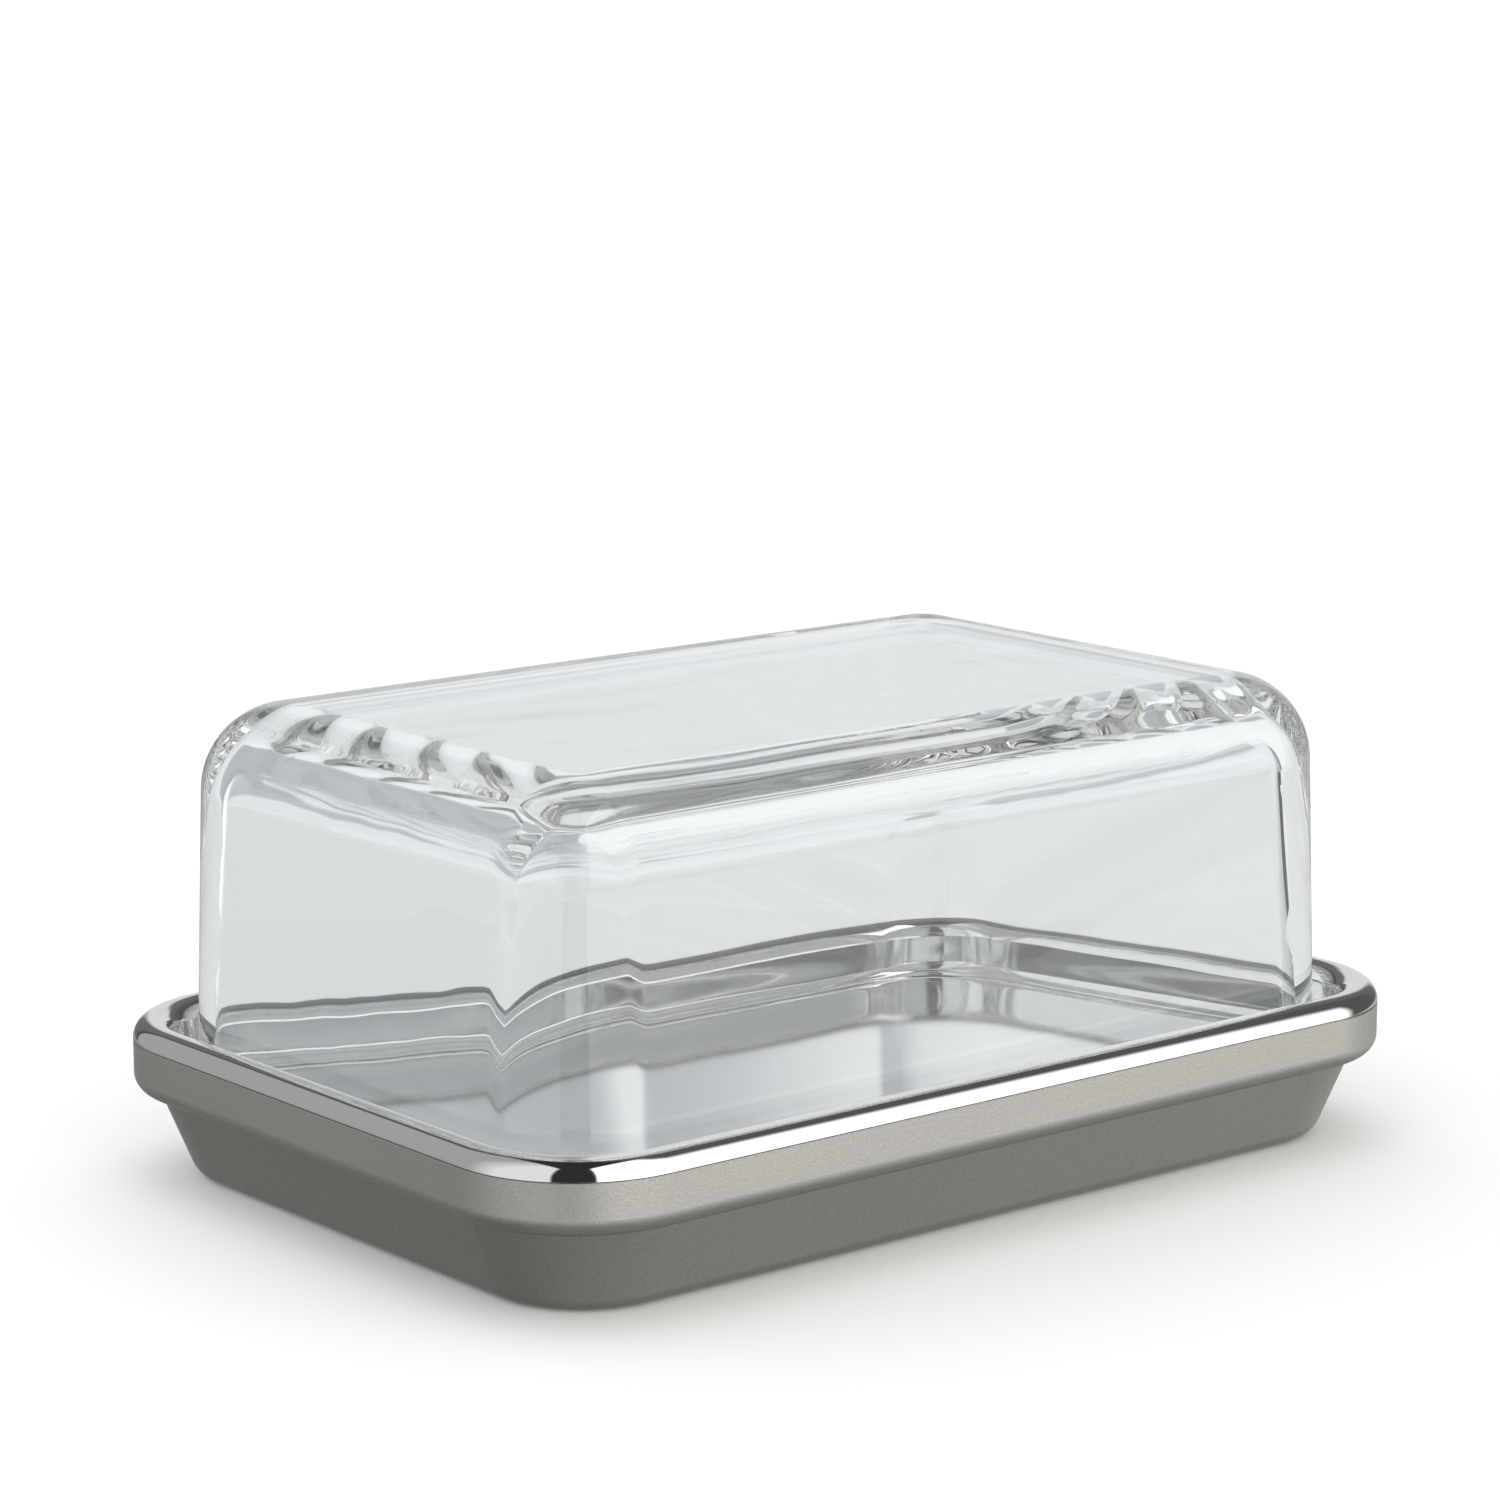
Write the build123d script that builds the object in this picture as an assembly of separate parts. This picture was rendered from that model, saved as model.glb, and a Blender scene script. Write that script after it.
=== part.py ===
from build123d import *

import os
from math import cos, radians

# Butter dish. A shallow stainless-steel tray with a rolled rim is set in a satin
# band, the band stands on a tapered hollow base, and a heavy pressed-glass cover
# stands loose on the tray's floor, inside the rim.
#
# Millimetres. +Z is up, X runs along the long side, and the origin is the centre
# of the underside. Every outline is a rounded rectangle about the Z axis.

# Steel dish, outside
LENGTH = 180.0  # over the band, along X
WIDTH = 124.0  # over the band, along Y
CORNER_RADIUS = 21.4  # plan radius of the band's corners
SHEET = 0.7  # thickness of every steel sheet
RIM_HEIGHT = 25.4  # top of the rolled rim
BEAD_RADIUS = 3.1  # outside radius of the rolled rim
STEP_HEIGHT = 13.8  # underside of the band, where the base starts
HAIRLINE = 0.15  # chamfer on both edges of the seam under the rim

# Inner tray
FLOOR_HEIGHT = STEP_HEIGHT + 2 * SHEET  # the floor lies on the band's flange
FLOOR_FILLET = 2.5  # inside radius between floor and wall

# Outer band
BAND_ROUND = 3.0  # outside radius at the band's lower edge
FLANGE_INSET = 14.0  # how far inside the outline the band's flange reaches

# Tapered base
BASE_INSET = 3.0  # from the band's outline to the base's top edge
BASE_CORNER_RADIUS = 21.3  # plan radius of the base's corners at its top edge
BASE_TAPER = 22.6  # degrees that the base's wall leans in, going down
BASE_FILLET = 3.7  # outside radius at the underside

# Glass cover
COVER_CLEARANCE = 0.15  # from the tray's floor to the cover's standing edge
COVER_LENGTH = 163.8  # outside, at the standing edge
COVER_WIDTH = 105.7
COVER_CORNER_RADIUS = 16.8  # plan radius of the corners at the standing edge
COVER_TOP = 75.9  # top of the cover above the table
COVER_DRAFT = 1.9  # degrees that the outside leans in, going up
COVER_TOP_FILLET = 13.9  # outside radius along the top edges
COVER_WALL = 2.2  # wall thickness at the standing edge
CAVITY_DRAFT = 7.0  # degrees that the inside leans in, going up
CAVITY_TOP = 66.5  # ceiling of the cavity above the table
CAVITY_TOP_FILLET = 7.0  # radius between the cavity's walls and its ceiling
STANDING_EDGE_ROUND = 1.0  # radius on both sides of the standing edge

SEAM_HEIGHT = RIM_HEIGHT - BEAD_RADIUS
TRAY_WALL = CORNER_RADIUS - 2 * BEAD_RADIUS  # inside face, from a corner's axis
COVER_BASE = FLOOR_HEIGHT + COVER_CLEARANCE


def ring(section):
    """Carry a section round the dish; its X is the distance from a corner's axis."""
    half_x = LENGTH / 2 - CORNER_RADIUS
    half_y = WIDTH / 2 - CORNER_RADIUS
    upright = section.rotate(Axis.X, 90)
    corner = revolve(upright, Axis.Z, 90)
    long_side = extrude(upright.rotate(Axis.Z, 90), half_x, dir=(1, 0, 0), both=True)
    short_side = extrude(upright, half_y, dir=(0, 1, 0), both=True)
    pieces = []
    for turn, x, y in ((0, 1, 1), (90, -1, 1), (180, -1, -1), (270, 1, -1)):
        pieces.append(Pos(x * half_x, y * half_y) * corner.rotate(Axis.Z, turn))
    for side in (-1, 1):
        turn = 90 - 90 * side
        pieces.append(Pos(side * half_x, 0) * short_side.rotate(Axis.Z, turn))
        pieces.append(Pos(0, side * half_y) * long_side.rotate(Axis.Z, turn))
    return pieces[0].fuse(*pieces[1:])


def sheet_section(outer_face):
    """Thicken a chain of edges, drawn clockwise, by one sheet to its right."""
    return make_face(offset(Wire(outer_face), SHEET, side=Side.RIGHT).edges())


def break_seam_edge(section):
    """Chamfer the outer corner that lies on the seam under the rim."""
    seam = Vertex(CORNER_RADIUS, SEAM_HEIGHT, 0)
    return chamfer(section.vertices().sort_by_distance(seam)[0], HAIRLINE)


def make_inner_tray():
    """Shallow tray: floor, low wall and a half-round rolled rim, in one sheet."""
    bead_centre = (CORNER_RADIUS - BEAD_RADIUS, SEAM_HEIGHT)
    fillet_centre = (TRAY_WALL - FLOOR_FILLET, FLOOR_HEIGHT + FLOOR_FILLET)
    fillet_start = (fillet_centre[0], FLOOR_HEIGHT)
    wall_foot = (TRAY_WALL, fillet_centre[1])
    wall_head = (TRAY_WALL, SEAM_HEIGHT)
    section = sheet_section(
        [
            CenterArc(fillet_centre, FLOOR_FILLET, 270, 90),
            Line(wall_foot, wall_head),
            CenterArc(bead_centre, BEAD_RADIUS, 180, -180),
        ]
    )
    inset = CORNER_RADIUS - fillet_start[0]
    floor = RectangleRounded(LENGTH - 2 * inset, WIDTH - 2 * inset, fillet_start[0])
    floor_plate = extrude(Pos(0, 0, FLOOR_HEIGHT - SHEET) * floor, SHEET)
    return ring(break_seam_edge(section)).fuse(floor_plate)


def make_outer_band():
    """Satin band: upright wall, rounded lower edge and a flange under the tray."""
    round_centre = (CORNER_RADIUS - BAND_ROUND, STEP_HEIGHT + BAND_ROUND)
    flange_edge = (CORNER_RADIUS - FLANGE_INSET, STEP_HEIGHT)
    section = sheet_section(
        [
            Line((CORNER_RADIUS, SEAM_HEIGHT), (CORNER_RADIUS, round_centre[1])),
            CenterArc(round_centre, BAND_ROUND, 0, -90),
            Line((round_centre[0], STEP_HEIGHT), flange_edge),
        ]
    )
    return ring(break_seam_edge(section))


def tapered_pan(inset, floor, fillet_radius):
    """Solid between the base's top edge and floor, moved in by inset at the wall."""
    shift = BASE_INSET + inset / cos(radians(BASE_TAPER))
    top = RectangleRounded(
        LENGTH - 2 * shift,
        WIDTH - 2 * shift,
        BASE_CORNER_RADIUS + BASE_INSET - shift,
    )
    depth = STEP_HEIGHT - floor
    block = extrude(Pos(0, 0, STEP_HEIGHT) * top, -depth, taper=BASE_TAPER)
    return fillet(block.edges().group_by(Axis.Z)[0], fillet_radius)


def make_base_shell():
    """Hollow tapered base: a pan whose open top is closed by the band and tray."""
    outside = tapered_pan(0.0, 0.0, BASE_FILLET)
    inside = tapered_pan(SHEET, SHEET, BASE_FILLET - SHEET)
    return outside - inside


def drafted_block(length, width, radius, top, draft, fillet_radius):
    """Block on the cover's standing plane with leaning walls and a rounded top."""
    outline = Pos(0, 0, COVER_BASE) * RectangleRounded(length, width, radius)
    block = extrude(outline, top - COVER_BASE, taper=draft)
    return fillet(block.edges().group_by(Axis.Z)[-1], fillet_radius)


def make_glass_cover():
    """Heavy cover: the walls thicken towards a thick top, as pressed glass does."""
    outside = drafted_block(
        COVER_LENGTH,
        COVER_WIDTH,
        COVER_CORNER_RADIUS,
        COVER_TOP,
        COVER_DRAFT,
        COVER_TOP_FILLET,
    )
    cavity = drafted_block(
        COVER_LENGTH - 2 * COVER_WALL,
        COVER_WIDTH - 2 * COVER_WALL,
        COVER_CORNER_RADIUS - COVER_WALL,
        CAVITY_TOP,
        CAVITY_DRAFT,
        CAVITY_TOP_FILLET,
    )
    cover = outside - cavity
    return fillet(cover.edges().group_by(Axis.Z)[0], STANDING_EDGE_ROUND)


def main():
    nodes = {
        "inner_tray": make_inner_tray(),
        "outer_band": make_outer_band(),
        "base_shell": make_base_shell(),
        "glass_cover": make_glass_cover(),
    }
    os.makedirs("parts", exist_ok=True)
    for name, shape in nodes.items():
        export_step(shape, f"parts/{name}.step")


main()
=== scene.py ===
import math

import bmesh
import bpy
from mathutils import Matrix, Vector


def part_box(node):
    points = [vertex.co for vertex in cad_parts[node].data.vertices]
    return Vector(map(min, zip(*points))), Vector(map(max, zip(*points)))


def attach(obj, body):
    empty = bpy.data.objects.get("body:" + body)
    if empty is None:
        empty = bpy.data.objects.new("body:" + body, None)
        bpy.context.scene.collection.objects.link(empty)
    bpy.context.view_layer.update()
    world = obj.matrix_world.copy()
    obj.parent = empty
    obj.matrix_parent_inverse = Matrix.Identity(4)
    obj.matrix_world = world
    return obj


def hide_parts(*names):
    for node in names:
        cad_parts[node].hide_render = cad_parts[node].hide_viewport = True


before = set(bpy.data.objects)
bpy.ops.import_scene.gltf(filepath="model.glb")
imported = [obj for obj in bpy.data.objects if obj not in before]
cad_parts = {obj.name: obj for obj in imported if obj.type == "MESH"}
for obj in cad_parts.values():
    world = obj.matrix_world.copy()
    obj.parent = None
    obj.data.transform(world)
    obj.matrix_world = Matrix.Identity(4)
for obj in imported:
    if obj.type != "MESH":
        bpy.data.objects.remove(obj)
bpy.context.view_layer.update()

# A butter dish: a polished tray in a satin band on a tapered satin base, under a
# heavy pressed-glass cover. Metres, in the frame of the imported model.

tray_low, tray_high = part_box("inner_tray")
band_low, band_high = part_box("outer_band")
_, base_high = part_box("base_shell")
cover_low, cover_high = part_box("glass_cover")

MM = 0.001

# Steel dish
SHEET = 0.7 * MM
HALF_X = band_high.x
HALF_Y = band_high.y
CORNER_RADIUS = 21.4 * MM
BEAD_RADIUS = 3.1 * MM
RIM_HEIGHT = tray_high.z
SEAM_HEIGHT = RIM_HEIGHT - BEAD_RADIUS
FLOOR_HEIGHT = tray_low.z + SHEET
FLOOR_FILLET = 2.5 * MM
HAIRLINE = 0.15 * MM  # chamfer on both edges of the seam under the rim
SEAM_GAP = 0.035 * MM  # half of the open seam under the rim
STEP_HEIGHT = band_low.z
BAND_ROUND = 3.0 * MM
FLANGE_INSET = 14.0 * MM
BASE_CORNER_RADIUS = 21.3 * MM
BASE_TAPER = math.radians(22.6)
BASE_FILLET = 3.7 * MM

# Glass cover
COVER_BASE = cover_low.z
COVER_TOP = cover_high.z
COVER_HALF_X = 81.9 * MM
COVER_HALF_Y = 52.85 * MM
COVER_CORNER_RADIUS = 16.8 * MM
COVER_DRAFT = math.radians(1.9)
COVER_TOP_FILLET = 13.9 * MM
COVER_WALL = 2.2 * MM
CAVITY_DRAFT = math.radians(7.0)
CAVITY_TOP = 66.5 * MM
CAVITY_TOP_FILLET = 7.0 * MM
STANDING_EDGE_ROUND = 1.0 * MM

# Meshes. Steps round an outline: in each corner, along the long and the short side.
# The other step counts stand in the calls that draw each stretch of a profile.
STEEL_STEPS = (24, 6, 4)
GLASS_STEPS = (30, 90, 50)
MIDDLE_INSET = 40 * MM  # where the steel floors end in one plain middle face
GLASS_MIDDLE = 20 * MM  # the same in the cover's flat top, from its rounded edge
LEAST_RADIUS = 0.8 * MM  # of a ring's corners
SHARP_ANGLE = math.radians(35)
FLAT_WEIGHT = 80  # above 50, so that large faces count for more in the normals

# Finishes: the two tones of each steel, and the roughness from its glossiest part
POLISHED_TONES = ((0.79, 0.79, 0.775), (0.82, 0.82, 0.805))
POLISHED_ROUGHNESS = (0.05, 0.07)  # on the rim and wall, on the floor
FLOOR_FINISH = (FLOOR_HEIGHT + 0.5 * MM, FLOOR_HEIGHT + 2 * MM)  # fades out here
BRUSH_SCALE = 2400
BRUSH_STRETCH = (0.03, 1, 1)  # the floor is brushed along X
BRUSH_DEPTH = 0.003 * MM
SATIN_TONES = ((0.60, 0.585, 0.55), (0.72, 0.705, 0.665))
SATIN_ROUGHNESS = (0.30, 0.36)
# painted shade: the base's tones are darker than the band's, for the shaded floor that
# the leaning base reflects
SATIN_BASE_SHADED_TONES = ((0.54, 0.53, 0.50), (0.67, 0.66, 0.625))
SATIN_BASE_ROUGHNESS = (0.34, 0.40)
GRAIN_SCALE = 2600
GRAIN_DEPTH = 0.025 * MM
GRAIN_SPREAD = (0.25, 0.75)  # the noise values that get the two tones
CLOUD_SCALE = 28  # slow changes across the steel
CLOUD_SPREAD = (0.3, 0.7)  # the noise values that get the two ends of the roughness
GLASS_TINT = (0.955, 0.963, 0.970)
GLASS_IOR = 1.52
WAVE_SCALE = 50
WAVE_STRETCH = (0.5, 1, 1)  # the glass's waves are longer along X
WAVE_DEPTH = 0.35 * MM
WAVE_HEIGHTS = (COVER_TOP - 25 * MM, COVER_TOP - 8 * MM)  # they grow between these
WAVE_LOW = 0.55  # how much of them is left below that
WAVE_FLAT = 0.1  # how much of them is left on level faces
LEVEL_FACES = (0.8, 0.995)  # rise of the normal as a face becomes level

# Camera: place, direction, and focal length in millimetres
CAMERA_PLACE = (-0.4513, -0.5467, 0.2039)
CAMERA_AIM = (0.6222, 0.7591, -0.1915)
CAMERA_LENS = 108.7

# Floor
FLOOR_HALF = 40.0
PAPER = (0.93, 0.93, 0.93)
# painted shade: the paper's colour where it is seen through the glass, darker than its
# plain colour
PAPER_SHADE_THROUGH_GLASS = (0.655, 0.67, 0.67)

# Studio. All angles are in degrees.
BOUNCES = 48  # light is reflected many times inside the thick glass
BACKGROUND = 1.06  # the white that the camera sees behind the dish
DULL_LIGHT = 0.85  # mean strength of the light on dull surfaces
KEY_SIDE = (112, 38)  # azimuth and elevation of the side that it favours
KEY_SHARE = 0.9  # how far it rises above the mean there, and falls opposite

# What reflections and refractions show of the room, back to front. Each sheet is
# given by its corners as (azimuth, elevation), the softness of its edges, its
# brightness and its colour. A brightness pair runs from the first corner's side to
# the second corner's. A sheet marked True is seen only through glass. The sheets
# that reach down to FOOT end behind the table.
ROOM = (0.030, 0.032, 0.035)
FOOT = -75
NEUTRAL = (1.0, 1.0, 1.0)
PALE = (0.99, 1.0, 1.0)
FRESH = (0.98, 1.0, 1.01)
COOL = (0.97, 1.0, 1.02)
BLUE = (0.94, 1.0, 1.06)
WARM = (1.0, 0.975, 0.93)
BACKDROP = (0.97, 0.99, 1.0)
DIMMED = (0.98, 1.0, 1.03)
SHEETS = (
    # dim wall behind and to the right
    (((-60, FOOT), (88, FOOT), (88, 66), (-20, 66)), 10, (0.10, 0.17), COOL, False),
    # bright backdrop that the camera looks at
    (((28, FOOT), (66, FOOT), (66, 30), (30, 24)), 8, (0.8, 0.8), BACKDROP, False),
    # soft box on the left, brighter towards the camera
    (((91, FOOT), (-146, FOOT), (-150, 60), (92, 60)), 3, (0.42, 0.90), PALE, False),
    # large soft box on the right
    (((-113.5, FOOT), (-50, FOOT), (-3, 65), (-113.5, 60)), 3, (1.6, 1.6), WARM, False),
    # shade past the right soft box's end
    (((-47, FOOT), (-10, FOOT), (20, 66), (-26, 64)), 14, (0.10, 0.10), NEUTRAL, False),
    # pale wall and ceiling behind the dish
    (((0, FOOT), (94, FOOT), (94, 78), (-4, 80)), 12, (0.52, 0.52), BLUE, True),
    # its brighter right part
    (((0, FOOT), (50.3, FOOT), (50.3, 74), (-4, 74)), 3, (0.95, 0.95), FRESH, True),
    # its brighter foot
    (((-10, FOOT), (94, FOOT), (94, 8.5), (-10, 8.5)), 3, (0.88, 0.88), FRESH, True),
    # the right soft box's upper part, dimmer than in plain reflections
    (((-125, 7), (-8, 7), (-5, 78), (-120, 78)), 8, (0.5, 0.5), DIMMED, True),
    # the left soft box's far part, brighter than in plain reflections
    (((100, FOOT), (180, FOOT), (180, 60), (100, 56)), 10, (1.15, 1.15), COOL, True),
)

# The table in the steel's reflections: the elevations between which it begins, its
# brightness towards two opposite azimuths, and the elevations between which it
# darkens into the dish's own shadow, with what is left of it there.
TABLE_EDGE = (-5, -9)
TABLE_SIDES = ((105, 0.27), (-75, 0.74))
TABLE_SHADE = (-12, -58, 0.42)


# Outlines and profiles. A profile is a list of (inset, height): how far a ring lies
# inside the outline, and its height.

def outline(half_x, half_y, radius, steps):
    """Rounded rectangle, counter-clockwise: a list of (x, y)."""
    corner_steps, long_steps, short_steps = steps
    centre_x = half_x - radius
    centre_y = half_y - radius
    corners = []
    for turn, side_x, side_y in ((0, 1, 1), (90, -1, 1), (180, -1, -1), (270, 1, -1)):
        arc = []
        for step in range(corner_steps + 1):
            angle = math.radians(turn + 90 * step / corner_steps)
            x = side_x * centre_x + radius * math.cos(angle)
            y = side_y * centre_y + radius * math.sin(angle)
            arc.append((x, y))
        corners.append(arc)
    points = []
    for index, arc in enumerate(corners):
        points.extend(arc)
        start, end = arc[-1], corners[(index + 1) % 4][0]
        run_steps = short_steps if index % 2 else long_steps
        points += run_profile(start, end, run_steps)
    return points


def arc_profile(centre_inset, centre_height, radius, start, end, steps):
    """Points round an arc; start and end are degrees above the horizontal."""
    points = []
    for step in range(steps + 1):
        angle = math.radians(start + (end - start) * step / steps)
        inset = centre_inset - radius * math.cos(angle)
        height = centre_height + radius * math.sin(angle)
        points.append((inset, height))
    return points


def run_profile(start, end, steps):
    """Points strictly between two places."""
    points = []
    for step in range(1, steps):
        share = step / steps
        points.append(tuple(a + (b - a) * share for a, b in zip(start, end)))
    return points


def sweep(name, half_x, half_y, radius, profile, steps, closed=False):
    """Carry a profile round a rounded rectangle and make one closed mesh of it."""
    rings = []
    form = bmesh.new()
    for inset, height in profile:
        ring_radius = max(radius - inset, LEAST_RADIUS)
        points = outline(half_x - inset, half_y - inset, ring_radius, steps)
        rings.append([form.verts.new((x, y, height)) for x, y in points])
    pairs = list(zip(rings, rings[1:]))
    if closed:
        pairs.append((rings[-1], rings[0]))
    for lower, upper in pairs:
        for index in range(len(lower)):
            after = (index + 1) % len(lower)
            form.faces.new((lower[index], lower[after], upper[after], upper[index]))
    if not closed:
        form.faces.new(rings[0])
        form.faces.new(rings[-1])
    bmesh.ops.recalc_face_normals(form, faces=form.faces)
    mesh = bpy.data.meshes.new(name)
    form.to_mesh(mesh)
    form.free()
    mesh.polygons.foreach_set("use_smooth", [True] * len(mesh.polygons))
    mesh.set_sharp_from_angle(angle=SHARP_ANGLE)
    piece = bpy.data.objects.new(name, mesh)
    bpy.context.scene.collection.objects.link(piece)
    return piece


def hold_flats(piece):
    """Weight the normals by face area, so that flat stretches shade flat."""
    modifier = piece.modifiers.new("flat_normals", "WEIGHTED_NORMAL")
    modifier.keep_sharp = True
    modifier.weight = FLAT_WEIGHT
    return piece


def make_tray():
    """Floor, fillet, wall and rolled rim, then back under the sheet."""
    wall = 2 * BEAD_RADIUS
    under_wall = wall - SHEET
    fillet_inset = wall + FLOOR_FILLET
    fillet = (fillet_inset, FLOOR_HEIGHT + FLOOR_FILLET)
    rim_edge = SEAM_HEIGHT + SEAM_GAP
    middle = (MIDDLE_INSET, FLOOR_HEIGHT)
    profile = [middle]
    profile += run_profile(middle, (fillet_inset, FLOOR_HEIGHT), steps=4)
    profile += arc_profile(*fillet, FLOOR_FILLET, -90, 0, steps=10)
    profile += run_profile((wall, fillet[1]), (wall, SEAM_HEIGHT), steps=3)
    profile += arc_profile(BEAD_RADIUS, SEAM_HEIGHT, BEAD_RADIUS, 180, 0, steps=32)
    profile[-1] = (0.0, SEAM_HEIGHT + HAIRLINE)
    profile.append((HAIRLINE, rim_edge))
    profile += arc_profile(BEAD_RADIUS, rim_edge, BEAD_RADIUS - SHEET, 0, 180, steps=16)
    profile += run_profile((under_wall, SEAM_HEIGHT), (under_wall, fillet[1]), steps=3)
    profile += arc_profile(*fillet, FLOOR_FILLET + SHEET, 0, -90, steps=10)
    profile.append((MIDDLE_INSET, FLOOR_HEIGHT - SHEET))
    return sweep("tray", HALF_X, HALF_Y, CORNER_RADIUS, profile, STEEL_STEPS)


def make_band():
    """Upright satin band with a rounded lower edge and a flange under the tray."""
    round_centre = (BAND_ROUND, STEP_HEIGHT + BAND_ROUND)
    band_edge = SEAM_HEIGHT - SEAM_GAP
    wall_head = (0.0, SEAM_HEIGHT - HAIRLINE)
    profile = [(HAIRLINE, band_edge), wall_head]
    profile += run_profile(wall_head, (0.0, round_centre[1]), steps=4)
    profile += arc_profile(*round_centre, BAND_ROUND, 0, -90, steps=16)
    profile.append((FLANGE_INSET, STEP_HEIGHT))
    profile.append((FLANGE_INSET, STEP_HEIGHT + SHEET))
    profile += arc_profile(*round_centre, BAND_ROUND - SHEET, -90, 0, steps=8)
    profile.append((SHEET, band_edge))
    return sweep(
        "band", HALF_X, HALF_Y, CORNER_RADIUS, profile, STEEL_STEPS, closed=True
    )


def make_base():
    """Tapered hollow base, open at the top, where the band's flange closes it."""
    lean = math.tan(BASE_TAPER)
    wall_shift = SHEET / math.cos(BASE_TAPER)
    tangent = math.tan(math.radians(45) - BASE_TAPER / 2)

    def skin(shift, bottom, radius):
        """Wall and bottom fillet of one face of the sheet, from the top edge down."""
        foot_inset = shift + (STEP_HEIGHT - bottom) * lean
        centre = (foot_inset + radius * tangent, bottom + radius)
        arc = arc_profile(*centre, radius, -math.degrees(BASE_TAPER), -90, steps=12)
        top = (shift, STEP_HEIGHT)
        return [top] + run_profile(top, arc[0], steps=4) + arc

    outside = skin(0.0, 0.0, BASE_FILLET)
    inside = skin(wall_shift, SHEET, BASE_FILLET - SHEET)
    profile = [(MIDDLE_INSET, 0.0)] + outside[::-1] + inside + [(MIDDLE_INSET, SHEET)]
    return sweep(
        "base", base_high.x, base_high.y, BASE_CORNER_RADIUS, profile, STEEL_STEPS
    )


def drafted_profile(top, draft, fillet, fillet_steps):
    """Flat top, rounded edge and leaning wall of the cover or of its cavity."""
    tangent = fillet * math.tan(math.radians(45) - draft / 2)
    edge_inset = (top - COVER_BASE) * math.tan(draft)
    centre = (edge_inset + tangent, top - fillet)
    arc = arc_profile(*centre, fillet, 90, math.degrees(draft), fillet_steps)
    middle = (centre[0] + GLASS_MIDDLE, top)
    flat = run_profile(middle, arc[0], steps=12)
    wall = run_profile(arc[-1], (0.0, COVER_BASE), steps=24)
    return [middle] + flat + arc + wall


def make_cover():
    """Pressed glass: outside, standing edge and cavity in one closed mesh."""
    outside = drafted_profile(
        COVER_TOP, COVER_DRAFT, COVER_TOP_FILLET, fillet_steps=24
    )
    cavity = drafted_profile(
        CAVITY_TOP, CAVITY_DRAFT, CAVITY_TOP_FILLET, fillet_steps=14
    )
    cavity = [(inset + COVER_WALL, height) for inset, height in cavity]
    wall_end = COVER_BASE + 1.5 * STANDING_EDGE_ROUND  # clear of the edge's round
    outside = [point for point in outside if point[1] > wall_end]
    cavity = [point for point in cavity if point[1] > wall_end]
    centre = (STANDING_EDGE_ROUND, COVER_BASE + STANDING_EDGE_ROUND)
    edge = arc_profile(*centre, STANDING_EDGE_ROUND, 0, -90, steps=6)
    edge += [(COVER_WALL - inset, height) for inset, height in reversed(edge)]
    return sweep(
        "cover_glass",
        COVER_HALF_X,
        COVER_HALF_Y,
        COVER_CORNER_RADIUS,
        outside + edge + cavity[::-1],
        GLASS_STEPS,
    )


# Nodes

def add_node(tree, kind, values=None, **settings):
    node = tree.nodes.new(kind)
    for key, value in settings.items():
        setattr(node, key, value)
    for key, value in (values or {}).items():
        node.inputs[key].default_value = value
    return node


def object_noise(tree, scale, detail, stretch=(1, 1, 1)):
    """Noise in object space, stretched along the axes."""
    place = add_node(tree, "ShaderNodeTexCoord")
    mapping = add_node(tree, "ShaderNodeMapping", {"Scale": stretch})
    texture = add_node(tree, "ShaderNodeTexNoise", {"Scale": scale, "Detail": detail})
    tree.links.new(place.outputs["Object"], mapping.inputs["Vector"])
    tree.links.new(mapping.outputs["Vector"], texture.inputs["Vector"])
    return texture.outputs["Fac"]


def map_range(tree, source, low, high, smooth=False, start=0.0, end=1.0):
    """Carry the range from start to end over to the range from low to high."""
    node = add_node(
        tree,
        "ShaderNodeMapRange",
        {"From Min": start, "From Max": end, "To Min": low, "To Max": high},
        interpolation_type="SMOOTHSTEP" if smooth else "LINEAR",
    )
    tree.links.new(source, node.inputs["Value"])
    return node.outputs["Result"]


def mix_colours(tree, factor, first, second):
    node = add_node(tree, "ShaderNodeMix", data_type="RGBA")
    node.inputs["A"].default_value = (*first, 1)
    node.inputs["B"].default_value = (*second, 1)
    tree.links.new(factor, node.inputs["Factor"])
    return node.outputs["Result"]


def lay_over(tree, mask, below, above):
    """Lay one colour over another where the mask is one."""
    layer = add_node(tree, "ShaderNodeMix", data_type="RGBA")
    tree.links.new(mask, layer.inputs["Factor"])
    tree.links.new(below, layer.inputs["A"])
    tree.links.new(above, layer.inputs["B"])
    return layer.outputs["Result"]


def dot_product(tree, direction, axis):
    node = add_node(tree, "ShaderNodeVectorMath", {1: axis}, operation="DOT_PRODUCT")
    tree.links.new(direction, node.inputs[0])
    return node.outputs["Value"]


def calculate(tree, operation, *sources):
    node = add_node(tree, "ShaderNodeMath", operation=operation)
    for index, source in enumerate(sources):
        tree.links.new(source, node.inputs[index])
    return node.outputs[0]


def multiply(tree, first, second):
    return calculate(tree, "MULTIPLY", first, second)


# Materials

def new_material(name):
    """A material, its node tree and its Principled shader."""
    material = bpy.data.materials.new(name)
    material.use_nodes = True
    tree = material.node_tree
    return material, tree, tree.nodes["Principled BSDF"]


def raise_surface(tree, shader, height, depth):
    """Let a height pattern tilt the shader's normal."""
    bump = add_node(tree, "ShaderNodeBump", {"Strength": 1.0, "Distance": depth})
    tree.links.new(height, bump.inputs["Height"])
    tree.links.new(bump.outputs["Normal"], shader.inputs["Normal"])


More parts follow.
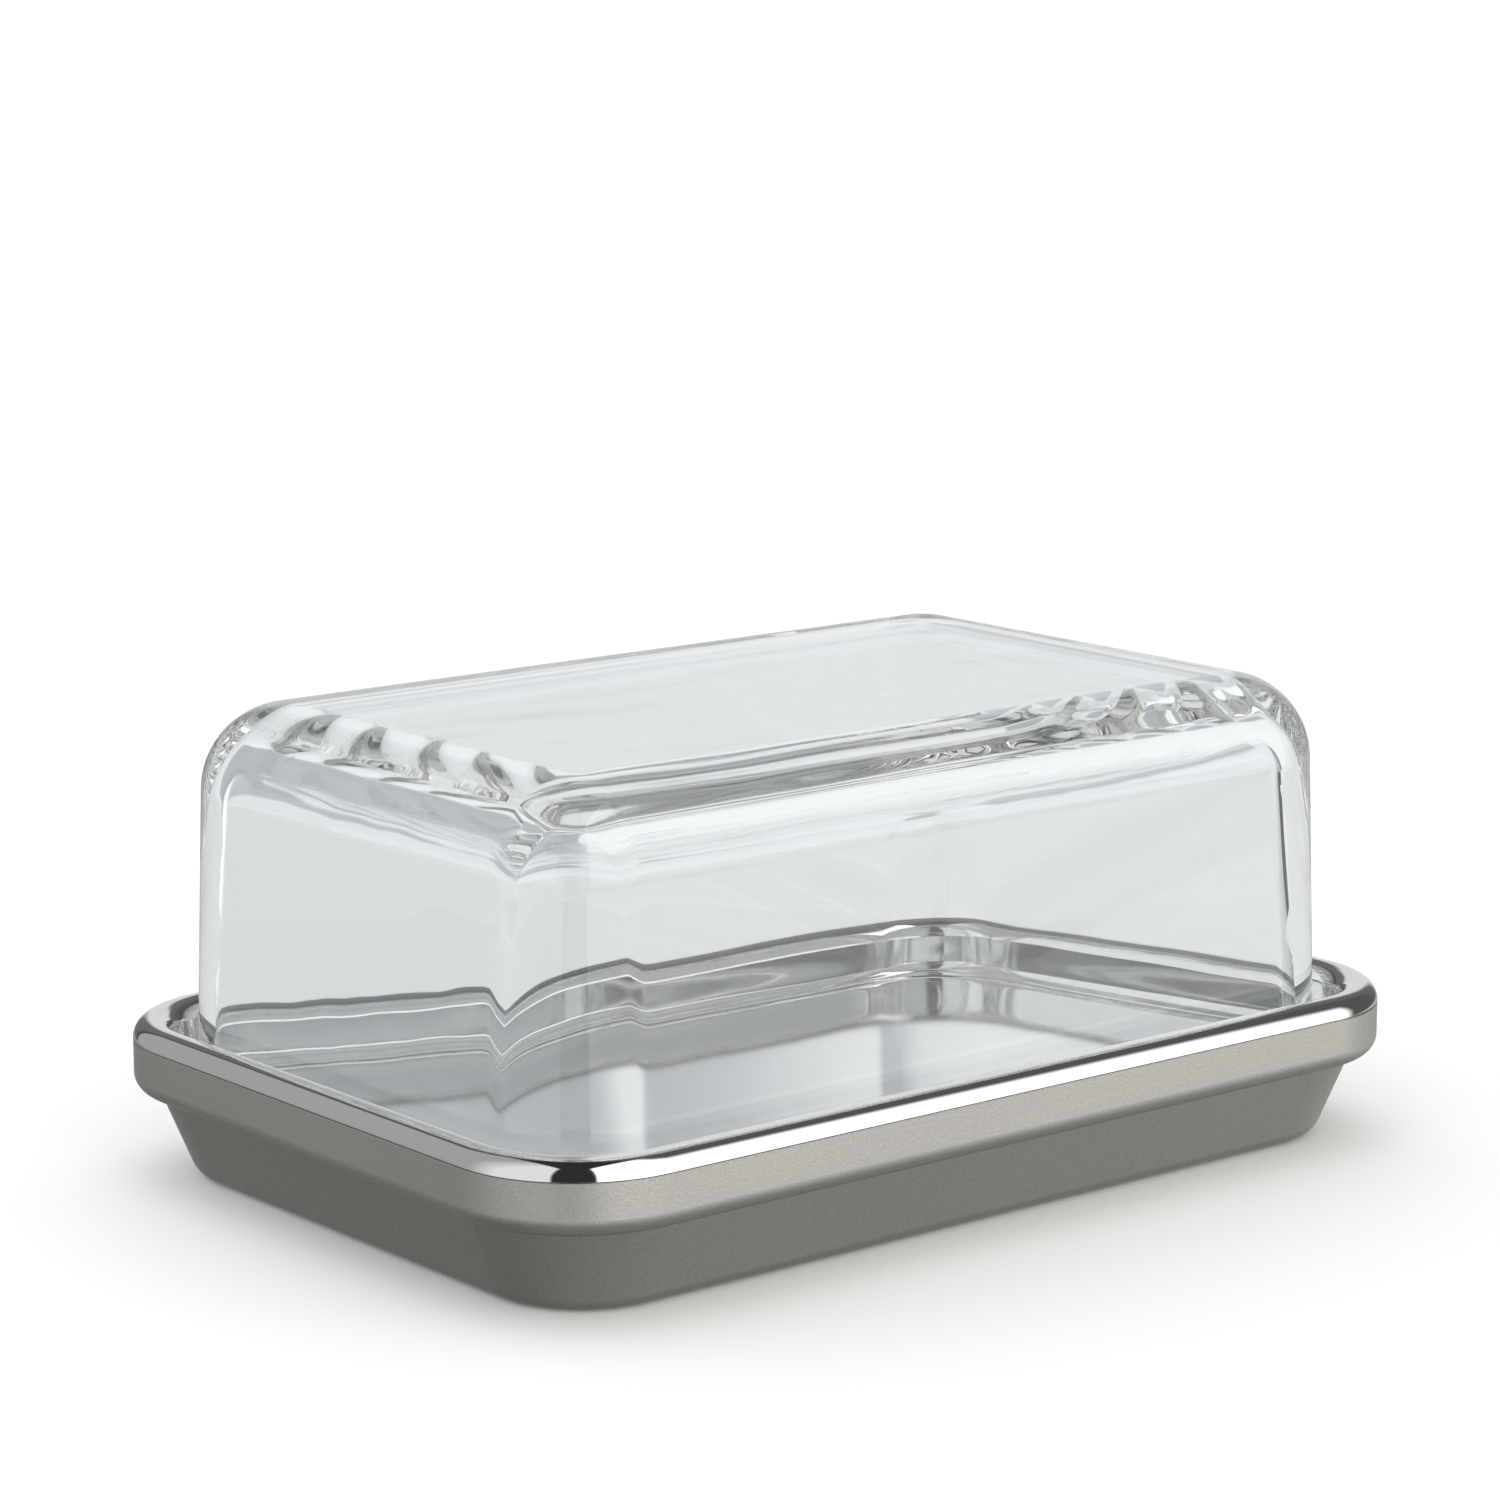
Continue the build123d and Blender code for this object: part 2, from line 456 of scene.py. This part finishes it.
def satin_steel(name, tones, roughness):
    """Stainless steel with a fine grain and a slow change of gloss."""
    material, tree, shader = new_material(name)
    shader.inputs["Metallic"].default_value = 1.0
    clouds = object_noise(tree, CLOUD_SCALE, detail=3)
    grain = object_noise(tree, GRAIN_SCALE, detail=4)
    share = map_range(tree, grain, 0.0, 1.0, False, *GRAIN_SPREAD)
    tree.links.new(mix_colours(tree, share, *tones), shader.inputs["Base Color"])
    gloss = map_range(tree, clouds, *roughness, False, *CLOUD_SPREAD)
    tree.links.new(gloss, shader.inputs["Roughness"])
    raise_surface(tree, shader, grain, GRAIN_DEPTH)
    return material


def tray_steel(name):
    """Mirror-polished steel on the rim and wall, and finely brushed on the floor."""
    material, tree, shader = new_material(name)
    shader.inputs["Metallic"].default_value = 1.0
    clouds = object_noise(tree, CLOUD_SCALE, detail=3)
    tone = mix_colours(tree, clouds, *POLISHED_TONES)
    tree.links.new(tone, shader.inputs["Base Color"])
    position = add_node(tree, "ShaderNodeTexCoord").outputs["Object"]
    height = dot_product(tree, position, (0, 0, 1))
    floor_part = map_range(tree, height, 1.0, 0.0, True, *FLOOR_FINISH)
    gloss = map_range(tree, floor_part, *POLISHED_ROUGHNESS)
    tree.links.new(gloss, shader.inputs["Roughness"])
    brushing = object_noise(tree, BRUSH_SCALE, detail=2, stretch=BRUSH_STRETCH)
    raise_surface(tree, shader, multiply(tree, brushing, floor_part), BRUSH_DEPTH)
    return material


def clear_glass(name):
    """Clear pressed glass with slight waves, strongest in its rounded top edges."""
    material, tree, shader = new_material(name)
    shader.inputs["Base Color"].default_value = (*GLASS_TINT, 1)
    shader.inputs["Transmission Weight"].default_value = 1.0
    shader.inputs["Roughness"].default_value = 0.0
    shader.inputs["IOR"].default_value = GLASS_IOR
    waves = object_noise(tree, WAVE_SCALE, detail=1, stretch=WAVE_STRETCH)
    coordinates = add_node(tree, "ShaderNodeTexCoord").outputs
    height = dot_product(tree, coordinates["Object"], (0, 0, 1))
    level = dot_product(tree, coordinates["Normal"], (0, 0, 1))
    near_top = map_range(tree, height, WAVE_LOW, 1.0, True, *WAVE_HEIGHTS)
    not_level = map_range(tree, level, 1.0, WAVE_FLAT, True, *LEVEL_FACES)
    waves = multiply(tree, waves, multiply(tree, near_top, not_level))
    raise_surface(tree, shader, waves, WAVE_DEPTH)
    return material


# Studio

def make_camera():
    data = bpy.data.cameras.new("camera")
    data.lens = CAMERA_LENS
    data.sensor_width = 36
    data.clip_start = 0.01
    data.clip_end = 100
    camera = bpy.data.objects.new("camera", data)
    camera.location = CAMERA_PLACE
    camera.rotation_euler = Vector(CAMERA_AIM).to_track_quat("-Z", "Y").to_euler()
    bpy.context.scene.collection.objects.link(camera)
    bpy.context.scene.camera = camera


def make_floor():
    """A wide plain sheet of pale paper, with painted shade: darker where it is seen
    through the glass.
    """
    form = bmesh.new()
    bmesh.ops.create_grid(form, x_segments=8, y_segments=8, size=FLOOR_HALF)
    mesh = bpy.data.meshes.new("floor")
    form.to_mesh(mesh)
    form.free()
    floor = bpy.data.objects.new("floor", mesh)
    bpy.context.scene.collection.objects.link(floor)
    material, tree, shader = new_material("paper")
    # painted shade: the paper gets a darker colour where it is seen through the glass
    through_glass = add_node(tree, "ShaderNodeLightPath").outputs["Is Transmission Ray"]
    tone = mix_colours(tree, through_glass, PAPER, PAPER_SHADE_THROUGH_GLASS)
    tree.links.new(tone, shader.inputs["Base Color"])
    shader.inputs["Roughness"].default_value = 1.0
    shader.inputs["Specular IOR Level"].default_value = 0.0
    mesh.materials.append(material)
    floor.visible_glossy = False  # the steel reflects the studio's table instead


def rise(elevation):
    """Height of a unit vector at an elevation in degrees."""
    return math.sin(math.radians(elevation))


def toward(azimuth, elevation):
    """Unit vector from the dish towards a place in the studio, from degrees."""
    around, up = math.radians(azimuth), math.radians(elevation)
    level = math.cos(up)
    return Vector((level * math.cos(around), level * math.sin(around), math.sin(up)))


def sheet_mask(tree, direction, corners, softness):
    """One inside the four corners, falling to zero across each edge."""
    middle = sum(corners, Vector())
    half_soft = math.sin(math.radians(softness) / 2)
    mask = None
    for start, end in zip(corners, corners[1:] + corners[:1]):
        edge = start.cross(end).normalized()
        if edge.dot(middle) < 0:
            edge.negate()
        across = dot_product(tree, direction, edge)
        inside = map_range(tree, across, 0.0, 1.0, True, -half_soft, half_soft)
        mask = multiply(tree, mask, inside) if mask else inside
    return mask


def sheet_colour(tree, direction, corners, brightness, tint):
    """The sheet's colour, running from its first corner to its second."""
    run = (corners[1] - corners[0]).normalized()
    along = dot_product(tree, direction, run)
    ends = (run.dot(corners[0]), run.dot(corners[1]))
    share = map_range(tree, along, 0.0, 1.0, False, *ends)
    first, second = ([level * part for part in tint] for level in brightness)
    return mix_colours(tree, share, first, second)


def add_table(tree, direction, colour):
    """Lay the table, below the horizon, over the room's colour."""
    height = dot_product(tree, direction, (0, 0, 1))
    (dim_side, dim), (_, bright) = TABLE_SIDES
    side = dot_product(tree, direction, toward(dim_side, 0))
    share = map_range(tree, side, 1.0, 0.0, False, -1.0, 1.0)
    start, end, left = TABLE_SHADE
    shade = map_range(tree, height, left, 1.0, True, rise(end), rise(start))
    level = multiply(tree, map_range(tree, share, dim, bright), shade)
    table = add_node(tree, "ShaderNodeCombineColor")
    for channel in ("Red", "Green", "Blue"):
        tree.links.new(level, table.inputs[channel])
    top, bottom = TABLE_EDGE
    mask = map_range(tree, height, 1.0, 0.0, True, rise(bottom), rise(top))
    return lay_over(tree, mask, colour, table.outputs[0])


def make_studio():
    """White behind the dish, soft light on dull surfaces, sheets in reflections."""
    world = bpy.data.worlds.new("studio")
    bpy.context.scene.world = world
    world.use_nodes = True
    tree = world.node_tree
    tree.nodes.clear()
    path = add_node(tree, "ShaderNodeLightPath").outputs
    direction = add_node(tree, "ShaderNodeTexCoord").outputs["Generated"]

    room = add_node(tree, "ShaderNodeRGB")
    room.outputs[0].default_value = (*ROOM, 1)
    colour = room.outputs[0]
    for angles, softness, brightness, tint, through_glass in SHEETS:
        corners = [toward(*angle) for angle in angles]
        mask = sheet_mask(tree, direction, corners, softness)
        if through_glass:
            mask = multiply(tree, mask, path["Is Transmission Ray"])
        sheet = sheet_colour(tree, direction, corners, brightness, tint)
        colour = lay_over(tree, mask, colour, sheet)
    colour = add_table(tree, direction, colour)
    sheets = add_node(tree, "ShaderNodeBackground")
    tree.links.new(colour, sheets.inputs["Color"])

    key_side = dot_product(tree, direction, toward(*KEY_SIDE))
    weakest, strongest = DULL_LIGHT * (1 - KEY_SHARE), DULL_LIGHT * (1 + KEY_SHARE)
    dull_light = map_range(tree, key_side, weakest, strongest, start=-1.0)
    white = map_range(tree, path["Is Camera Ray"], 0.0, BACKGROUND)
    strength = calculate(
        tree, "MULTIPLY_ADD", dull_light, path["Is Diffuse Ray"], white
    )
    plain = add_node(tree, "ShaderNodeBackground", {"Color": (1, 1, 1, 1)})
    tree.links.new(strength, plain.inputs["Strength"])

    is_plain = calculate(tree, "MAXIMUM", path["Is Camera Ray"], path["Is Diffuse Ray"])
    mix = add_node(tree, "ShaderNodeMixShader")
    tree.links.new(is_plain, mix.inputs["Fac"])
    tree.links.new(sheets.outputs[0], mix.inputs[1])
    tree.links.new(plain.outputs[0], mix.inputs[2])
    out = add_node(tree, "ShaderNodeOutputWorld")
    tree.links.new(mix.outputs[0], out.inputs["Surface"])


def place(piece, body, node, slot, material):
    piece.data.materials.append(material)
    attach(piece, body)
    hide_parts(node)


bpy.context.scene.view_settings.view_transform = "Standard"
limits = bpy.context.scene.cycles
limits.max_bounces = BOUNCES
limits.glossy_bounces = BOUNCES
limits.transmission_bounces = BOUNCES
make_camera()
make_floor()
make_studio()

polished = tray_steel("polished_steel")
satin = satin_steel("satin_steel", SATIN_TONES, SATIN_ROUGHNESS)
# painted shade: the base's satin steel is a darker copy of the band's
satin_base = satin_steel("satin_steel_base", SATIN_BASE_SHADED_TONES, SATIN_BASE_ROUGHNESS)
pressed_glass = clear_glass("clear_glass")
place(hold_flats(make_tray()), "dish", "inner_tray", "polished_steel", polished)
place(hold_flats(make_band()), "dish", "outer_band", "satin_steel", satin)
place(hold_flats(make_base()), "dish", "base_shell", "satin_steel_base", satin_base)
place(make_cover(), "cover", "glass_cover", "clear_glass", pressed_glass)
